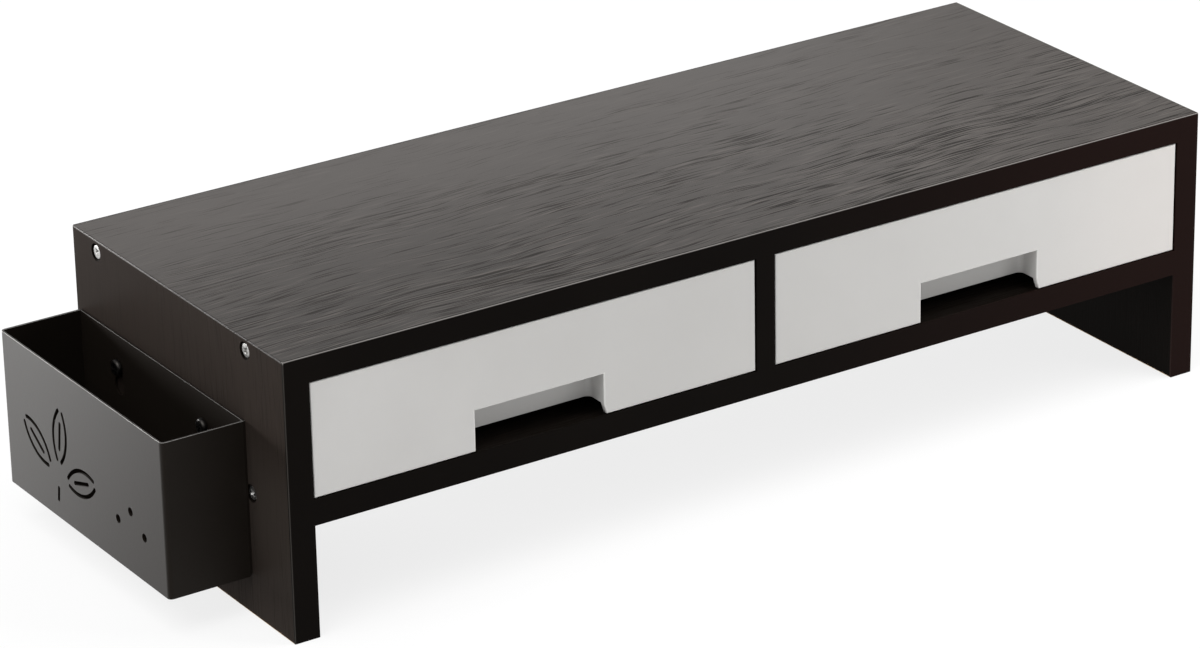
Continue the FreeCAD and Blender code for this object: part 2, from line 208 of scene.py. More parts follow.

# %% [markdown]
# ## What every finish shares
#
# Each finish below starts from the place on the object, so a pattern has a real size in
# millimetres and runs on from one board to the next. It ends in one Principled shader. Noise is
# read from stretched coordinates: dividing a coordinate by 30 mm makes a blotch 30 mm long in
# that direction, which is all that wood grain needs.
#
# The rounded edges of the strips, the drawers and the pen holder get painted highlights, pale
# lines where light would catch them, while the boards' own edges are coloured dark and dull; on the
# upright and inner boards that dark colour also paints shade into the sloping walls of the screw
# holes. All these pieces lie along the axes. A face
# of theirs has one part of its normal at 1 or -1 and the others at 0. Only on a rounded edge do two
# parts share it, so the products of their squares find the edges.

# %% A finish
class Finish(Graph):
    """A material with helpers for patterns that have a size in metres."""

    def __init__(self, name):
        self.material = bpy.data.materials.new(name)
        self.material.use_nodes = True
        super().__init__(self.material.node_tree)
        place = self.add("ShaderNodeTexCoord", out="Object")
        axes = self.add("ShaderNodeSeparateXYZ", values={0: place})
        self.place = place
        self.x, self.y, self.z = axes, axes.output("Y"), axes.output("Z")

    def vector(self, x, y, z):
        return self.add("ShaderNodeCombineXYZ", values={0: x, 1: y, 2: z})

    def noise(self, place, detail=2.0, roughness=0.5):
        """Noise from 0 to 1 whose blotches are about one unit of the place."""
        values = {"Vector": place, "Scale": 1.0, "Detail": detail, "Roughness": roughness}
        return self.add("ShaderNodeTexNoise", {"normalize": True}, values)

    def blotches(self, size, detail=2.0, roughness=0.5):
        """Even noise with blotches of a size."""
        scaled = self.add("ShaderNodeVectorMath", {"operation": "SCALE"},
                          {0: self.place, "Scale": 1 / size})
        return self.noise(scaled, detail, roughness)

    def step(self, value, low, high):
        """A smooth step from 0 at low to 1 at high. Low may be the larger of the two."""
        values = {"Value": value, "From Min": low, "From Max": high}
        return self.add("ShaderNodeMapRange", {"interpolation_type": "SMOOTHSTEP"}, values)

    def normal(self):
        """The three parts of the normal. The wire itself is its part along X."""
        normal = self.add("ShaderNodeTexCoord", out="Normal")
        return self.add("ShaderNodeSeparateXYZ", values={0: normal})

    def normal_squares(self):
        """The squares of the three parts of the normal. They add up to 1."""
        parts = self.normal()
        return parts * parts, parts.output("Y") ** 2, parts.output("Z") ** 2

    def rounded_edges(self):
        """0 on a flat face that lies along the axes, 1 in the middle of a rounded edge."""
        x, y, z = self.normal_squares()
        return (x * y + y * z + z * x) * 4

    def mix(self, factor, first, second):
        """A colour between two colours."""
        return self.add("ShaderNodeMix", {"data_type": "RGBA"},
                        {0: factor, 6: first, 7: second}, out=2)

    def bump(self, height, depth, strength):
        values = {"Height": height, "Distance": depth, "Strength": strength}
        return self.add("ShaderNodeBump", values=values)

    def surface(self, **sockets):
        """End in a Principled shader, with underscores for the spaces in socket names."""
        values = {name.replace("_", " "): value for name, value in sockets.items()}
        shader = self.add("ShaderNodeBsdfPrincipled", values=values)
        self.add("ShaderNodeOutputMaterial", values={"Surface": shader})
        return self.material


print("finishes ready: each ends in one Principled shader")

# %% Colours and dressing
def colour(red, green, blue):
    """An opaque colour, in linear light."""
    return (red, green, blue, 1.0)


def dress(finish, *names):
    """Give the finish to the named pieces."""
    for name in names:
        nodes[name].data.materials.clear()
        nodes[name].data.materials.append(finish)
    print(finish.name, "on", len(names), "pieces")


print("a colour is", len(colour(0.0, 0.0, 0.0)), "numbers: red, green, blue and alpha")

# %% [markdown]
# ## Grain that flows
#
# The boards are particle board pressed with a black melamine paper. The press plate leaves an
# open grain in it: dark pores, each a few centimetres long, with ridges beside them whose glint is
# painted on as paler strokes, a painted highlight. They lie almost in line, drift together in soft
# waves, and gather in patches. A Wave texture would
# give rings that are much too regular. Noise stretched some thirty times along one axis gives
# single pores.
#
# The two cross coordinates are added into one before two slower noises bend it. That way a pore
# follows one unbroken line on every face, and stays whole where the grain drifts. A small share of
# the long coordinate turns the whole grain by nearly two degrees from the board's edge.

# %% Grain layers
grain_slant = 0.03


def grain_layers(finish, along, across, deep):
    """Fibres, pores, strokes for painted glints beside the pores, and patches, all bent by the same
    two drifts.
    """

    def drift(length, width, detail):
        place = finish.vector(along / length, across / width, deep / width)
        return finish.noise(place, detail) - 0.5

    wander = drift(130 * mm, 70 * mm, 2.0) * (18 * mm)
    ripple = drift(20 * mm, 6 * mm, 3.0) * (1.2 * mm)
    line = across + deep + wander + ripple - along * grain_slant

    def strokes(length, width, layer, detail, roughness=0.5):
        """Noise in strokes of a size. Each layer is another cut through the same noise."""
        place = finish.vector(along / length, line / width, layer)
        return finish.noise(place, detail, roughness)

    fibre = strokes(24 * mm, 0.6 * mm, layer=0.0, detail=3.0, roughness=0.6)
    pore = strokes(30 * mm, 0.9 * mm, layer=0.3, detail=2.0)
    # The ridge strokes become painted glints: paler paper where embossed ridges would catch light.
    ridge = strokes(24 * mm, 0.9 * mm, layer=0.7, detail=1.0)
    patch = strokes(120 * mm, 24 * mm, layer=0.5, detail=2.0)
    return fibre, pore, ridge, patch


print("grain turned by", round(math.degrees(math.atan(grain_slant)), 1), "degrees")

# %% [markdown]
# ## Painted light and shade, and bare places on the boards
#
# Three things change the black paper from place to place. The outer faces of the side boards are
# painted paler low down at the front, as painted light against the pen holder's shadow. Their inner
# faces are plainer and painted darker, as painted shade. And the undersides of the legs have no
# strip, so there the pale chips of the core show. Each is a mask from 0 to 1, or a colour, that the
# board's finish mixes in.

# %% Painted light, painted shade and bare places
painted_light_paper = colour(0.034, 0.028, 0.024)
painted_shade_paper = colour(0.0010, 0.0008, 0.0006)
dark_chip = colour(0.20, 0.13, 0.07)
pale_chip = colour(0.52, 0.38, 0.23)
chips_per_metre = 420.0


def painted_light_low_front(finish):
    """Painted light: 1 low down at the front of the side boards, on the faces that look left or
    right.
    """
    below_middle = finish.step(finish.z, 100 * mm, 60 * mm)
    above_table = finish.step(finish.z, 0.0, 50 * mm)
    at_front = finish.step(finish.y, stand_front + 50 * mm, stand_front + 25 * mm)
    return below_middle * above_table * at_front * finish.normal_squares()[0]


def looks_inward(finish):
    """1 on a face at either end of the stand that looks towards its middle."""
    return finish.step(finish.normal() * finish.x, -10 * mm, -100 * mm)


def pressed_chips(finish):
    """The bare core that shows where a board has no strip: pale chips, pressed flat."""
    cells = {"Vector": finish.place, "Scale": chips_per_metre}
    chips = finish.add("ShaderNodeTexVoronoi", values=cells, out="Color")
    tone = finish.add("ShaderNodeSeparateXYZ", values={0: chips})
    dust = finish.blotches(1.5 * mm)
    return finish.mix(tone * 0.7 + dust * 0.3, dark_chip, pale_chip)


print("a chip of the core is about", round(1 / chips_per_metre / mm, 1), "mm wide")

# %% [markdown]
# ## Black wood-grain board
#
# The colour itself is nearly black. What makes the top look grey in a picture is the room,
# mirrored weakly by the satin face at a flat angle. So the pores are made rougher and deeper than
# the face round them, as well as darker. The grain is deepest along the front and towards the
# right end. Towards the front left the top is painted darker, as painted shade, and a little
# duller, while the upright boards are painted paler there, as painted light.
#
# Three finishes are made in this one way and differ in their numbers. The low IOR of the upright
# and inner boards keeps them black where the top is grey, because hardly any of the room is
# mirrored there. The inner finish, on the drawer shelf, is also a much darker copy of the same
# paper, as painted shade under the drawers. The strips on the upper ends of the two sides get the
# finish of the top, so that the top reads as one face.

# %% Wood-grain board
painted_glint = colour(0.070, 0.060, 0.053)
dark_pore = colour(0.005, 0.004, 0.003)
satin_roughness = 0.40


def wood_grain_board(name, axes, dark, light, index, pore_strength, glint_strength, painted_front_shading,
                     edge_colour_and_hole_shade):
    """Black board. Its grain runs along the first of the three axes."""
    finish = Finish(name)
    wires = {"x": finish.x, "y": finish.y, "z": finish.z}
    fibre, pore, ridge, patch = grain_layers(finish, *(wires[axis] for axis in axes))

    near_front = finish.step(finish.y, stand_rear - 10 * mm, stand_front + 20 * mm)
    # The front left is painted darker on the top, as painted shade, and paler on the uprights, as
    # painted light. It is also a little duller there.
    front_left_duller_and_painted = near_front * finish.step(finish.x, stand_right - 70 * mm, stand_left + 110 * mm)
    to_front = finish.step(finish.y, stand_rear - 10 * mm, stand_front + 10 * mm)
    to_right = finish.step(finish.x, stand_left + 80 * mm, stand_right - 70 * mm)
    depth = (to_front * 0.60 + 0.52) * (to_right * 0.30 + 0.95)
    gathered = patch * 0.30 + near_front * 0.05
    pores = finish.step(pore + gathered, 0.72, 0.86) * depth
    glints = finish.step(ridge + gathered, 0.73, 0.89) * depth

    cloud = finish.blotches(80 * mm, 3.0)
    tone = (fibre - 0.5) * depth * 0.8 + cloud * 0.4 + front_left_duller_and_painted * painted_front_shading + 0.48
    face = finish.mix(tone, dark, light)
    # Painted highlight: the ridges are made paler where they would catch the light.
    face = finish.mix(glints * glint_strength, face, painted_glint)
    face = finish.mix(pores * pore_strength, face, dark_pore)
    # Painted light low down at the front of the sides, against the shadow of the pen holder.
    face = finish.mix(painted_light_low_front(finish) * 0.7, face, painted_light_paper)
    # Painted shade: the faces that look towards the middle of the stand are made nearly black.
    face = finish.mix(looks_inward(finish) * 0.92, face, painted_shade_paper)
    # The dark edge colour of the upright and inner boards paints shade into the sloping walls of
    # the screw holes.
    edges = finish.rounded_edges()
    face = finish.mix(edges * 0.8, face, edge_colour_and_hole_shade)
    underside = finish.step(finish.z, 0.4 * mm, 0.1 * mm)
    face = finish.mix(underside, face, pressed_chips(finish))
    return finish.surface(
        Base_Color=face,
        Roughness=pores * (pore_strength * 0.3) + front_left_duller_and_painted * 0.08 + edges * 0.25 + satin_roughness,
        IOR=index,
        Specular_Tint=colour(1.0, 0.95, 0.92),
        Normal=finish.bump(fibre * 0.4 - pores, 0.10 * mm * pore_strength, 0.6),
    )


lengthwise = wood_grain_board(
    "wood_grain_board_lengthwise", "xyz",
    dark=colour(0.010, 0.0080, 0.0068), light=colour(0.038, 0.031, 0.0265), index=1.29,
    pore_strength=0.8, glint_strength=0.55, painted_front_shading=-0.50, edge_colour_and_hole_shade=colour(0.012, 0.011, 0.010),
)
# A darker copy of the board paper for the drawer shelf: painted shade.
painted_shade_board = wood_grain_board(
    "wood_grain_board_painted_shade", "xyz",
    dark=colour(0.0030, 0.0023, 0.0018), light=colour(0.0070, 0.0055, 0.0046), index=1.05,
    pore_strength=0.5, glint_strength=0.04, painted_front_shading=0.0, edge_colour_and_hole_shade=colour(0.002, 0.0015, 0.001),
)
upright = wood_grain_board(
    "wood_grain_board_upright", "zyx",
    dark=colour(0.0120, 0.0089, 0.0073), light=colour(0.0200, 0.0153, 0.0128), index=1.06,
    pore_strength=0.3, glint_strength=0.04, painted_front_shading=0.30, edge_colour_and_hole_shade=colour(0.002, 0.0015, 0.001),
)
dress(lengthwise, "top_panel", "left_side_top_band", "right_side_top_band")
dress(painted_shade_board, "drawer_shelf")
dress(upright, "left_side_panel", "right_side_panel", "centre_divider")

# %% [markdown]
# ## Edge strip
#
# Cut edges of particle board are covered with a strip of black plastic, glued on hot and
# rounded over with a cutter. The strip is plainer than the face, and turns a little brown
# towards the right end of the stand. Only the cutter's feed leaves a faint waviness, for which
# a small even noise in the height is enough. The rounded corner along the top gets a painted
# highlight, a thin bright line, and the lower rounded corners get a fainter painted highlight.

# %% Edge strip
black_strip = colour(0.0025, 0.0018, 0.0014)
soft_black_strip = colour(0.0042, 0.0030, 0.0023)
brown_strip = colour(0.0105, 0.0046, 0.0037)
painted_lower_highlight = colour(0.06, 0.055, 0.050)
painted_top_highlight = colour(0.30, 0.285, 0.27)


def edge_strip():
    finish = Finish("edge_strip")
    waves = finish.blotches(4 * mm)
    cloud = finish.blotches(50 * mm)
    face = finish.mix(cloud, black_strip, soft_black_strip)
    to_right = finish.step(finish.x, 0.0, stand_right)
    face = finish.mix(to_right, face, brown_strip)
    # Painted highlights on the rounded corners: a bright line along the top, a fainter one below.
    along_top = finish.step(finish.z, stand_top - 1.5 * mm, stand_top - 0.5 * mm)
    corner = finish.mix(along_top, painted_lower_highlight, painted_top_highlight)
    face = finish.mix(finish.rounded_edges() * 0.7, face, corner)
    return finish.surface(
        Base_Color=face,
        Roughness=waves * 0.10 + 0.42,
        IOR=1.10,
        Normal=finish.bump(waves, 0.04 * mm, 0.4),
    )


dress(
    edge_strip(),
    "left_side_front_band", "left_side_rear_band", "right_side_front_band",
    "right_side_rear_band", "top_front_band", "top_rear_band", "shelf_front_band",
    "shelf_rear_band", "divider_front_band",
)

# %% [markdown]
# ## Back sheet
#
# The thin sheet behind the drawers is pressed fibre, painted black on its outer face. Pressed
# fibre is matt and a little cloudy, with fibres that lie in every direction, so its noise isn't
# stretched at all.

# %% Back sheet
black_paint = colour(0.010, 0.0085, 0.0075)
thin_paint = colour(0.022, 0.019, 0.017)


def pressed_fibre_sheet():
    finish = Finish("pressed_fibre_sheet")
    fibres = finish.blotches(1.2 * mm, 4.0, 0.7)
    cloud = finish.blotches(35 * mm, 3.0)
    face = finish.mix(cloud * 0.6 + fibres * 0.4, black_paint, thin_paint)
    return finish.surface(
        Base_Color=face,
        Roughness=fibres * 0.15 + 0.62,
        IOR=1.30,
        Normal=finish.bump(fibres, 0.10 * mm, 0.5),
    )


dress(pressed_fibre_sheet(), "back_panel")

# %% [markdown]
# ## Drawer plastic
#
# The drawers are moulded in an off-white plastic. The mould is lightly blasted, so the face has
# a very fine even texture with a soft, wide sheen. Real mouldings are never one flat colour:
# the melt cools unevenly and leaves soft clouds that are a little lighter or darker, and those
# clouds are what keeps a large pale face from looking drawn. The fronts are painted a shade
# darker towards the middle of the stand, as painted shade, and paler at its right end, as painted
# light. The rounded edges of the front and of the rims that look up get painted highlights, and
# the corners inside the finger pull stay as they were moulded.

# %% Drawer plastic
plain_plastic = colour(0.510, 0.502, 0.490)
pale_plastic = colour(0.590, 0.583, 0.572)
warm_plastic = colour(0.556, 0.542, 0.521)
painted_shade_plastic = colour(0.430, 0.423, 0.410)
painted_light_plastic = colour(0.720, 0.672, 0.640)
painted_highlight_plastic = colour(0.80, 0.79, 0.77)


def moulded_plastic():
    finish = Finish("moulded_plastic")
    blasting = finish.blotches(0.6 * mm, 2.0, 0.6)
    cloud = finish.blotches(45 * mm, 4.0, 0.6)
    warmth = finish.blotches(160 * mm)
    face = finish.mix(cloud, plain_plastic, pale_plastic)
    face = finish.mix(warmth * 0.5, face, warm_plastic)
    # Painted shade towards the middle of the stand and painted light at its right end.
    middle_painted_shade = finish.step(abs(finish.x), 220 * mm, 20 * mm)
    face = finish.mix(middle_painted_shade * 0.4, face, painted_shade_plastic)
    right_end_painted_light = finish.step(finish.x, stand_right - 120 * mm, stand_right - 10 * mm)
    face = finish.mix(right_end_painted_light * 0.4, face, painted_light_plastic)

    # Painted highlights: pale lines on the rounded edges of the front and of the rims that look up.
    front_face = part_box("left_drawer")[0].y
    on_front = finish.step(finish.y, front_face + 3 * mm, front_face + 1.5 * mm)
    looks_up = finish.step(finish.normal().output("Z"), 0.1, 0.4)
    edge_highlights = finish.rounded_edges() * on_front.larger(looks_up)
    face = finish.mix(edge_highlights * 0.8, face, painted_highlight_plastic)
    return finish.surface(
        Base_Color=face,
        Roughness=blasting * 0.12 + cloud * 0.06 + 0.40,
        Specular_IOR_Level=0.4,
        Normal=finish.bump(blasting, 0.04 * mm, 0.5),
    )


dress(moulded_plastic(), "left_drawer", "right_drawer")

# %% [markdown]
# ## Powder-coated sheet
#
# The pen holder is bent from steel sheet and powder coated. The powder melts into a film with
# a slight orange-peel ripple, finer grit on top of it, and a sheen that is softer than paint from
# a can. Two noises of different size in the height are enough for the ripple and the grit.
#
# A good black coat looks black when it is faced and grey along its length, when it mirrors the
# room. A high IOR gives the grey, and a dark Specular Tint, which colours only what is mirrored
# head on, keeps the rest black. The outer face is painted a shade paler up and towards the back,
# as a painted sheen, and the rounded top rim gets a painted highlight. The powder hardly reaches
# the back plate, down in the narrow box, so its coat there is thinner and duller, with a low IOR.

# %% Powder coat
holder_low, holder_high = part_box("pen_holder_wall")
sheen_slope = 0.45
black_coat = colour(0.0075, 0.0056, 0.0043)
soft_black_coat = colour(0.0110, 0.0088, 0.0070)


def powder_coat(name, index, specular_tint, painted_sheen, rim_highlight):
    finish = Finish(name)
    ripple = finish.blotches(2.2 * mm, 1.0)
    grit = finish.blotches(0.4 * mm, 2.0, 0.6)
    cloud = finish.blotches(50 * mm)
    face = finish.mix(cloud, black_coat, soft_black_coat)

    # A painted sheen: the outer face is made paler up and towards the back.
    outer_face = finish.step(finish.normal(), -0.5, -0.9)
    lowest = holder_low.y + holder_low.z * sheen_slope
    highest = holder_high.y + holder_high.z * sheen_slope
    sheen_up_and_back = finish.step(
        finish.y + finish.z * sheen_slope, lowest - 4 * mm, highest - 13 * mm
    )
    face = finish.mix(outer_face * sheen_up_and_back, face, painted_sheen)

    # A painted highlight along the rounded top rim.
    x, y, z = finish.normal_squares()
    along_top = finish.step(finish.z, holder_high.z - 1.5 * mm, holder_high.z - 0.5 * mm)
    face = finish.mix((x + y) * z * 3 * along_top, face, rim_highlight)
    return finish.surface(
        Base_Color=face,
        Roughness=grit * 0.12 + cloud * 0.06 + 0.42,
        IOR=index,
        Specular_Tint=specular_tint,
        Normal=finish.bump(ripple * 0.7 + grit * 0.3, 0.05 * mm, 0.6),
    )


outside = powder_coat(
    "black_powder_coat", index=1.60, specular_tint=colour(0.09, 0.082, 0.075),
    painted_sheen=colour(0.045, 0.0428, 0.0410), rim_highlight=colour(0.40, 0.39, 0.38),
)
inside = powder_coat(
    "thin_powder_coat", index=1.10, specular_tint=colour(1.0, 0.96, 0.93),
    painted_sheen=colour(0.009, 0.007, 0.0055), rim_highlight=colour(0.16, 0.155, 0.15),
)
dress(outside, "pen_holder_wall")
dress(inside, "pen_holder_back")

# %% [markdown]
# ## Beech dowels
#
# Two dowels locate the divider in the top. They are plain turned beech, pale and pinkish, with
# fine short flecks along their length. Nobody sees them once the stand is together, so the
# finish is kept short.

# %% Beech
dark_beech = colour(0.50, 0.33, 0.19)
pale_beech = colour(0.66, 0.48, 0.31)
fleck_width, fleck_length = 0.5 * mm, 8 * mm


def beech():
    finish = Finish("plain_beech")
    place = finish.vector(
        finish.x / fleck_width, finish.y / fleck_width, finish.z / fleck_length
    )
    fleck = finish.noise(place, 3.0)
    face = finish.mix(fleck, dark_beech, pale_beech)
    return finish.surface(
        Base_Color=face,
        Roughness=fleck * 0.2 + 0.5,
        Normal=finish.bump(fleck, 0.1 * mm, 0.4),
    )


dress(beech(), "divider_dowels")

# %% [markdown]
# ## Zinc-plated screws
#
# The countersunk heads in the side are the brightest small things on the stand. The plain
# solids for them have a straight-sided cross and no thread. A real cross is pressed with a
# tapered punch, into a head with a slightly rounded rim, and a thread follows behind the head. So
# the screws are made afresh.
#
# One screw is a surface of revolution whose radius also depends on the turn round the axis,
# which gives the thread. A tapered cross is then taken out of the head. Geometry Nodes set the
# copies in rows, and turn each one by its own random angle, because nobody lines up their
# crosses.

# %% The turned body of a screw
screw_sides = 32
thread_pitch = 1.6 * mm
thread_flank = 0.30
rows_per_pitch = 6


def thread_radius(angle, z, start, end, root, crest):
    """The radius of a V-shaped thread, faded in at its start and out at its end."""
    turn = (z / thread_pitch - angle / math.tau) % 1.0
    ridge = max(0.0, 1.0 - abs(turn - 0.5) / thread_flank)
    fade = min(1.0, (z - start) / thread_pitch, (end - z) / thread_pitch)
    return root + (crest - root) * ridge * max(0.0, fade)


def screw_rings(head, thread_start, thread_end, root, crest, tip):
    """Rings of radii from the head's rim to the tip, each with its height."""
    rings = [(z, [radius] * screw_sides) for radius, z in head]
    count = round((thread_end - thread_start) / thread_pitch * rows_per_pitch)
    for row in range(count + 1):
        z = thread_start + (thread_end - thread_start) * row / count
        angles = [math.tau * side / screw_sides for side in range(screw_sides)]
        radii = [thread_radius(a, z, thread_start, thread_end, root, crest) for a in angles]
        rings.append((z, radii))
    blunt_end = (tip - 0.4 * mm, [root * 0.2] * screw_sides)
    rings.append(blunt_end)
    return rings


def finished_mesh(form, name):
    """A mesh from a bmesh, with its faces pointing outwards."""
    bmesh.ops.recalc_face_normals(form, faces=form.faces)
    mesh = bpy.data.meshes.new(name)
    form.to_mesh(mesh)
    form.free()
    return mesh


def turned_mesh(name, rings, crown, tip):
    """A closed mesh through the rings, with a point at each end."""
    form = bmesh.new()
    loops = []
    for z, radii in rings:
        loop = []
        for side, radius in enumerate(radii):
            angle = math.tau * side / screw_sides
            loop.append(form.verts.new((radius * math.cos(angle), radius * math.sin(angle), z)))
        loops.append(loop)
    first = form.verts.new((0, 0, crown))
    last = form.verts.new((0, 0, tip))
    for side in range(screw_sides):
        after = (side + 1) % screw_sides
        form.faces.new((first, loops[0][after], loops[0][side]))
        form.faces.new((last, loops[-1][side], loops[-1][after]))
        for near, far in zip(loops, loops[1:]):
            form.faces.new((near[side], near[after], far[after], far[side]))
    return finished_mesh(form, name)


print("thread pitch in mm:", round(thread_pitch / mm, 1))

# %% [markdown]
# The cross is a punch with sloping walls, wide at its mouth and narrow at its bottom. A Boolean
# modifier takes it out of the head, and the result becomes a plain mesh, so that no modifier is
# left when the screw is copied.

# %% The cross
mouth_above_crown, mouth_span, mouth_width = 0.2 * mm, 3.9 * mm, 1.2 * mm
recess_depth, bottom_span, bottom_width = 1.6 * mm, 2.1 * mm, 0.6 * mm


def cross_punch(name, crown):
    """The tapered cross that the head's recess is pressed with, from the crown along +Z."""
    form = bmesh.new()
    ends = []
    mouth = (crown - mouth_above_crown, mouth_span, mouth_width)
    bottom = (crown + recess_depth, bottom_span, bottom_width)
    for z, span, width in (mouth, bottom):
        far, near = span / 2, width / 2
        outline = (
            (far, -near), (far, near), (near, near),
            (near, far), (-near, far), (-near, near),
            (-far, near), (-far, -near), (-near, -near),
            (-near, -far), (near, -far), (near, -near),
        )
        ends.append([form.verts.new((x, y, z)) for x, y in outline])
    form.faces.new(ends[0][::-1])
    form.faces.new(ends[1])
    for index in range(len(ends[0])):
        after = (index + 1) % len(ends[0])
        form.faces.new((ends[0][index], ends[0][after], ends[1][after], ends[1][index]))
    return finished_mesh(form, name)


print("depth of the recess in mm:", round(recess_depth / mm, 1))

# %% One screw
def linked(name, mesh):
    """A new object with the mesh, or the lamp, in the scene."""
    piece = bpy.data.objects.new(name, mesh)
    bpy.context.scene.collection.objects.link(piece)
    return piece


def as_plain_mesh(piece, name):
    """The mesh of a piece with its modifiers applied."""
    bpy.context.view_layer.update()
    graph = bpy.context.evaluated_depsgraph_get()
    mesh = bpy.data.meshes.new_from_object(piece.evaluated_get(graph), depsgraph=graph)
    mesh.name = name
    return mesh


def make_screw(name, head, crown, thread_start, thread_end, root, crest, tip):
    """One screw, with its axis on Z and its point towards +Z."""
    rings = screw_rings(head, thread_start, thread_end, root, crest, tip)
    blank = linked(name, turned_mesh(name, rings, crown, tip))
    punch = linked(name + "_punch", cross_punch(name + "_punch", crown))
    cut = blank.modifiers.new("recess", "BOOLEAN")
    cut.operation = "DIFFERENCE"
    cut.solver = "EXACT"
    cut.object = punch
    mesh = as_plain_mesh(blank, name)
    blank.modifiers.clear()
    blank.data = mesh
    bpy.data.objects.remove(punch)
    mesh.shade_smooth()
    mesh.set_sharp_from_angle(angle=math.radians(32))
    print(name, "faces:", len(mesh.polygons))
    return blank


# %% [markdown]
# Each kind of screw is given by the outline of its head, as pairs of a radius and a height, and
# by the reach of its thread. The board screw has a countersunk head with a smooth shank behind
# it. The pan screw has a domed head on a neck, and the keyholes of the pen holder slide over the
# neck.

# %% The two kinds of screw
head_radius = 3.2 * mm
shank_radius = 1.5 * mm
board_screw = make_screw(
    "board_screw",
    head=(
        (2.95 * mm, 0.0), (3.12 * mm, 0.04 * mm), (head_radius, 0.14 * mm),
        (head_radius, 0.3 * mm), (1.75 * mm, 1.75 * mm), (shank_radius, 3.0 * mm),
        (shank_radius, 7.0 * mm),
    ),
    crown=0.0, thread_start=7.4 * mm, thread_end=31.0 * mm,
    root=1.25 * mm, crest=1.9 * mm, tip=35.0 * mm,
)

pan_radius = 4.0 * mm
pan_crown = -3.9 * mm
pan_seat = -1.5 * mm
neck_radius = 2.0 * mm
pan_screw = make_screw(
    "pan_screw",
    head=(
        (2.2 * mm, pan_crown), (3.0 * mm, -3.78 * mm), (3.5 * mm, -3.48 * mm),
        (3.85 * mm, -3.0 * mm), (pan_radius, -2.4 * mm), (pan_radius, -1.6 * mm),
        (3.9 * mm, pan_seat), (neck_radius, pan_seat), (neck_radius, -1.0 * mm),
        (1.9 * mm, 0.2 * mm),
    ),
    crown=pan_crown, thread_start=0.4 * mm, thread_end=7.0 * mm,
    root=1.3 * mm, crest=1.95 * mm, tip=10.0 * mm,
)

# %% [markdown]
# The plating is zinc: pale grey metal, with faint rings from the turning of the wire and a
# slight cloud. The two screws that carry the pen holder are plated black, to go with its coat.
# The rings have to be centred on each screw's own axis. So the tree below stores each point's
# place on the single screw in an attribute before it makes the copies, and the finish reads that
# attribute in place of the place on the stand.

# %% Zinc plating, pale and black
own_place = "place_on_screw"


def plating(name, dark, light):
    finish = Finish(name)
    place = finish.add("ShaderNodeAttribute", {"attribute_name": own_place}, out="Vector")
    axes = finish.add("ShaderNodeSeparateXYZ", values={0: place})
    x, y, z = axes, axes.output("Y"), axes.output("Z")
    radius = (x * x + y * y) ** 0.5
    rings = finish.noise(finish.vector(radius / (0.22 * mm), z / (0.6 * mm), 0.0), 2.0)
    cloud = finish.blotches(3 * mm)
    face = finish.mix(cloud, dark, light)
    return finish.surface(
        Base_Color=face,
        Metallic=1.0,
        Roughness=rings * 0.15 + cloud * 0.12 + 0.24,
        Normal=finish.bump(rings, 0.02 * mm, 0.5),
    )


zinc = plating("zinc_plating", colour(0.32, 0.32, 0.31), colour(0.45, 0.44, 0.43))
black_zinc = plating(
    "black_zinc_plating", colour(0.012, 0.011, 0.010), colour(0.035, 0.033, 0.031)
)
print("finishes:", zinc.name, "and", black_zinc.name)

# %% [markdown]
# The tree takes two Mesh Lines, one set on the points of the other, which gives a grid with
# its own pitch each way. Every number that belongs to this stand is a named input, so the same
# tree serves the four screws of a side, the pair under the divider and the pair that carries the
# pen holder.

# %% Rows of screws
def screw_rows_tree():
    tree = bpy.data.node_groups.new("screw_rows", "GeometryNodeTree")
    graph = Graph(tree)
    inputs = (
        ("Screw", "NodeSocketObject"), ("Finish", "NodeSocketMaterial"),
        ("First", "NodeSocketVector"), ("Facing", "NodeSocketVector"),
        ("Columns", "NodeSocketInt"), ("Column Step", "NodeSocketVector"),
        ("Rows", "NodeSocketInt"), ("Row Step", "NodeSocketVector"), ("Seed", "NodeSocketInt"),
    )
    for name, kind in inputs:
        tree.interface.new_socket(name, in_out="INPUT", socket_type=kind)
    tree.interface.new_socket("Screws", in_out="OUTPUT", socket_type="NodeSocketGeometry")
    given = graph.add("NodeGroupInput")

    def line(count, start, step):
        values = {"Count": given.output(count), "Start Location": start,
                  "Offset": given.output(step)}
        return graph.add("GeometryNodeMeshLine", {"mode": "OFFSET"}, values)

    column = line("Columns", (0.0, 0.0, 0.0), "Column Step")
    row = line("Rows", given.output("First"), "Row Step")
    grid = graph.add("GeometryNodeInstanceOnPoints", values={"Points": row, "Instance": column})
    points = graph.add("GeometryNodeRealizeInstances", values={0: grid})

    screw = graph.add("GeometryNodeObjectInfo", values={"Object": given.output("Screw")},
                      out="Geometry")
    place = graph.add("GeometryNodeInputPosition")
    marked = graph.add(
        "GeometryNodeStoreNamedAttribute", {"data_type": "FLOAT_VECTOR", "domain": "POINT"},
        {"Geometry": screw, "Name": own_place, "Value": place},
    )
    angle = graph.add("FunctionNodeRandomValue", {"data_type": "FLOAT"},
                      {2: 0.0, 3: math.tau, "Seed": given.output("Seed")}, out=1)
    spin = graph.add("FunctionNodeAxisAngleToRotation",
                     values={"Axis": (0.0, 0.0, 1.0), "Angle": angle})
    facing_turn = graph.add("FunctionNodeEulerToRotation", values={0: given.output("Facing")})
    turn = graph.add("FunctionNodeRotateRotation", {"rotation_space": "LOCAL"},
                     {"Rotation": facing_turn, "Rotate By": spin})
    copies = graph.add("GeometryNodeInstanceOnPoints",
                       values={"Points": points, "Instance": marked, "Rotation": turn})
    real = graph.add("GeometryNodeRealizeInstances", values={0: copies})
    dressed = graph.add("GeometryNodeSetMaterial",
                        values={"Geometry": real, "Material": given.output("Finish")})
    graph.add("NodeGroupOutput", values={0: dressed})
    return tree


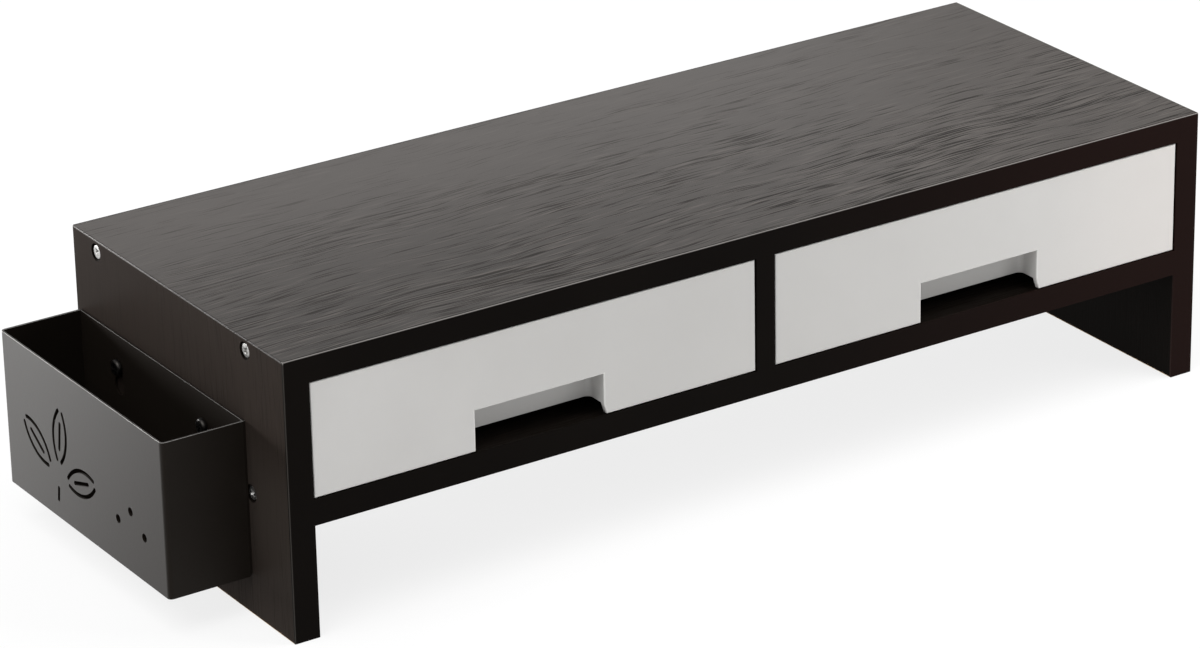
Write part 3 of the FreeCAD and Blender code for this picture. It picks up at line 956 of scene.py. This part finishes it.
screw_rows = screw_rows_tree()
print("named inputs:", [item.name for item in screw_rows.interface.items_tree
                        if item.in_out == "INPUT"])

# %% [markdown]
# A modifier's inputs are set by the identifier of each socket, since two sockets may share a
# name. The result becomes a plain mesh at once, and then it takes over from the plain solids. The
# place of the first screw and the steps are measured from those solids, so the finer screws
# stay where the model has them if a size of the stand changes.

# %% Set the screws
def set_screws(name, node, screw, finish, facing, first, columns, column_step, rows, row_step,
               seed):
    """Make the screws of one node, in place of its plain solids."""
    host = linked(name, bpy.data.meshes.new(name))
    modifier = host.modifiers.new("rows", "NODES")
    modifier.node_group = screw_rows
    values = {
        "Screw": screw, "Finish": finish, "First": first, "Facing": facing, "Columns": columns,
        "Column Step": column_step, "Rows": rows, "Row Step": row_step, "Seed": seed,
    }
    for item in screw_rows.interface.items_tree:
        if item.in_out == "INPUT":
            modifier[item.identifier] = values[item.name]
    mesh = as_plain_mesh(host, name)
    host.modifiers.clear()
    host.data = mesh
    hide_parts(node)
    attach(host, "carcass")
    low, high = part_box(node)
    print(name, "copies:", columns * rows, "box of the solids:",
          [round(v / mm, 1) for v in (*low, *high)])


# %% [markdown]
# The box round the plain solids of a node reaches one head's radius past the middle of each
# outermost screw, so the middles lie one radius inside it. Along the screws' own axis, their heads
# are at the end of the box that faces out.

# %% Side screws
def span_between(node, radius):
    """The middles of the outermost screws of a node, along Y and along Z."""
    low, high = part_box(node)
    return (low.y + radius, high.y - radius), (low.z + radius, high.z - radius)


quarter = math.radians(90)
for side, direction, seed in (("left", 1, 3), ("right", -1, 8)):
    node = side + "_side_screws"
    low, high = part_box(node)
    face_x = low.x if direction > 0 else high.x
    (front_y, rear_y), (low_z, high_z) = span_between(node, head_radius)
    set_screws(
        side + "_side_board_screws", node, board_screw, zinc,
        facing=(0.0, direction * quarter, 0.0), first=(face_x, front_y, low_z),
        columns=2, column_step=(0.0, rear_y - front_y, 0.0),
        rows=2, row_step=(0.0, 0.0, high_z - low_z), seed=seed,
    )

# %% Divider and pen holder screws
no_step = (0.0, 0.0, 0.0)
low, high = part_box("divider_screws")
(front_y, rear_y), _ = span_between("divider_screws", head_radius)
set_screws(
    "divider_board_screws", "divider_screws", board_screw, zinc,
    facing=(0.0, 0.0, 0.0), first=((low.x + high.x) / 2, front_y, low.z),
    columns=2, column_step=(0.0, rear_y - front_y, 0.0), rows=1, row_step=no_step, seed=5,
)

low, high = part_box("pen_holder_screws")
(front_y, rear_y), (low_z, _) = span_between("pen_holder_screws", pan_radius)
set_screws(
    "pen_holder_pan_screws", "pen_holder_screws", pan_screw, black_zinc,
    facing=(0.0, quarter, 0.0), first=(low.x - pan_crown, front_y, low_z),
    columns=2, column_step=(0.0, rear_y - front_y, 0.0), rows=1, row_step=no_step, seed=2,
)
bpy.data.objects.remove(board_screw)
bpy.data.objects.remove(pan_screw)

# %% [markdown]
# ## Floor and room
#
# A white studio sweep is only as white as the light on it, and lighting it to pure white would
# also flood the stand. So the floor keeps an ordinary pale finish for the light that it sends on
# to the stand, while the camera, and any shiny surface that mirrors the floor, sees mostly plain
# white with a share of the real shading in it. That share is what keeps the soft shadow. It
# fades out away from the stand, so that the floor has no visible end.

# %% Floor and room
floor_half = 4.0
shadow_share = 0.20
shadow_fades_from, shadow_ends_at = 0.5, 1.8
plain_white = colour(1.0, 1.0, 1.0)
pale_grey = colour(0.85, 0.85, 0.85)

floor_mesh = bpy.data.meshes.new("floor")
corners = [(x * floor_half, y * floor_half, 0.0) for x, y in ((-1, -1), (1, -1), (1, 1), (-1, 1))]
floor_mesh.from_pydata(corners, [], [(0, 1, 2, 3)])
floor = linked("floor", floor_mesh)


def seen_directly(graph):
    """1 for what the camera sees, itself or in a reflection or through glass."""
    path = graph.add("ShaderNodeLightPath", out="Is Camera Ray")
    seen = path + path.output("Is Glossy Ray") + path.output("Is Transmission Ray")
    return seen.smaller(1.0)


floor_finish = Finish("pale_floor")
white = floor_finish.add("ShaderNodeEmission", values={"Color": plain_white, "Strength": 1.0})
pale = floor_finish.add("ShaderNodeBsdfDiffuse", values={"Color": pale_grey})
x, y = floor_finish.x, floor_finish.y
far = floor_finish.step((x * x + y * y) ** 0.5, shadow_fades_from, shadow_ends_at)
share = seen_directly(floor_finish) * (far * shadow_share + (1.0 - shadow_share))
mixed = floor_finish.add("ShaderNodeMixShader", values={0: share, 1: pale, 2: white})
floor_finish.add("ShaderNodeOutputMaterial", values={"Surface": mixed})
floor_mesh.materials.append(floor_finish.material)

room_level = 0.26
world = bpy.data.worlds.new("studio")
world.use_nodes = True
bpy.context.scene.world = world
room = Graph(world.node_tree)
level = seen_directly(room) * (1.0 - room_level) + room_level
light = room.add("ShaderNodeBackground", values={"Color": plain_white, "Strength": level})
room.add("ShaderNodeOutputWorld", values={"Surface": light})
print("room light:", room_level)

# %% [markdown]
# ## Lamps
#
# Four softboxes light the stand as a product photographer would: a key from the upper left,
# which models the top and the pen holder, a wide fill from the front right for the drawer
# fronts, a low strip at the rear left, and a weak one behind that lifts the far edge of the top.
# The strip stands near the direction in which the camera is mirrored by the left side, so it
# draws a sheen there and hardly lights anything else. Each lamp is set by a turn, a height and a
# distance, and pointed at the stand, because that is how such lamps are moved in a studio.

# %% Lamps
def softbox(name, turn, height, distance, wide, tall, power):
    """A soft lamp. Turn 0 is in front and -90 on the left; both angles in degrees."""
    turn, height = math.radians(turn), math.radians(height)
    away = Vector((
        math.sin(turn) * math.cos(height), -math.cos(turn) * math.cos(height), math.sin(height),
    ))
    lamp = bpy.data.lights.new(name, "AREA")
    lamp.shape = "RECTANGLE"
    lamp.size = wide
    lamp.size_y = tall
    lamp.energy = power
    placed = linked(name, lamp)
    placed.location = camera_target + away * distance
    placed.rotation_mode = "QUATERNION"
    placed.rotation_quaternion = (-away).to_track_quat("-Z", "Y")
    print(name, "power", power, "W, distance", distance, "m")


softbox("key", turn=-75, height=55, distance=1.9, wide=1.4, tall=1.4, power=26.0)
softbox("fill", turn=60, height=44, distance=1.25, wide=1.0, tall=1.0, power=14.5)
softbox("sheen", turn=-147, height=4, distance=1.15, wide=0.6, tall=0.22, power=20.0)
softbox("rear", turn=154, height=13, distance=1.2, wide=0.7, tall=0.7, power=1.05)
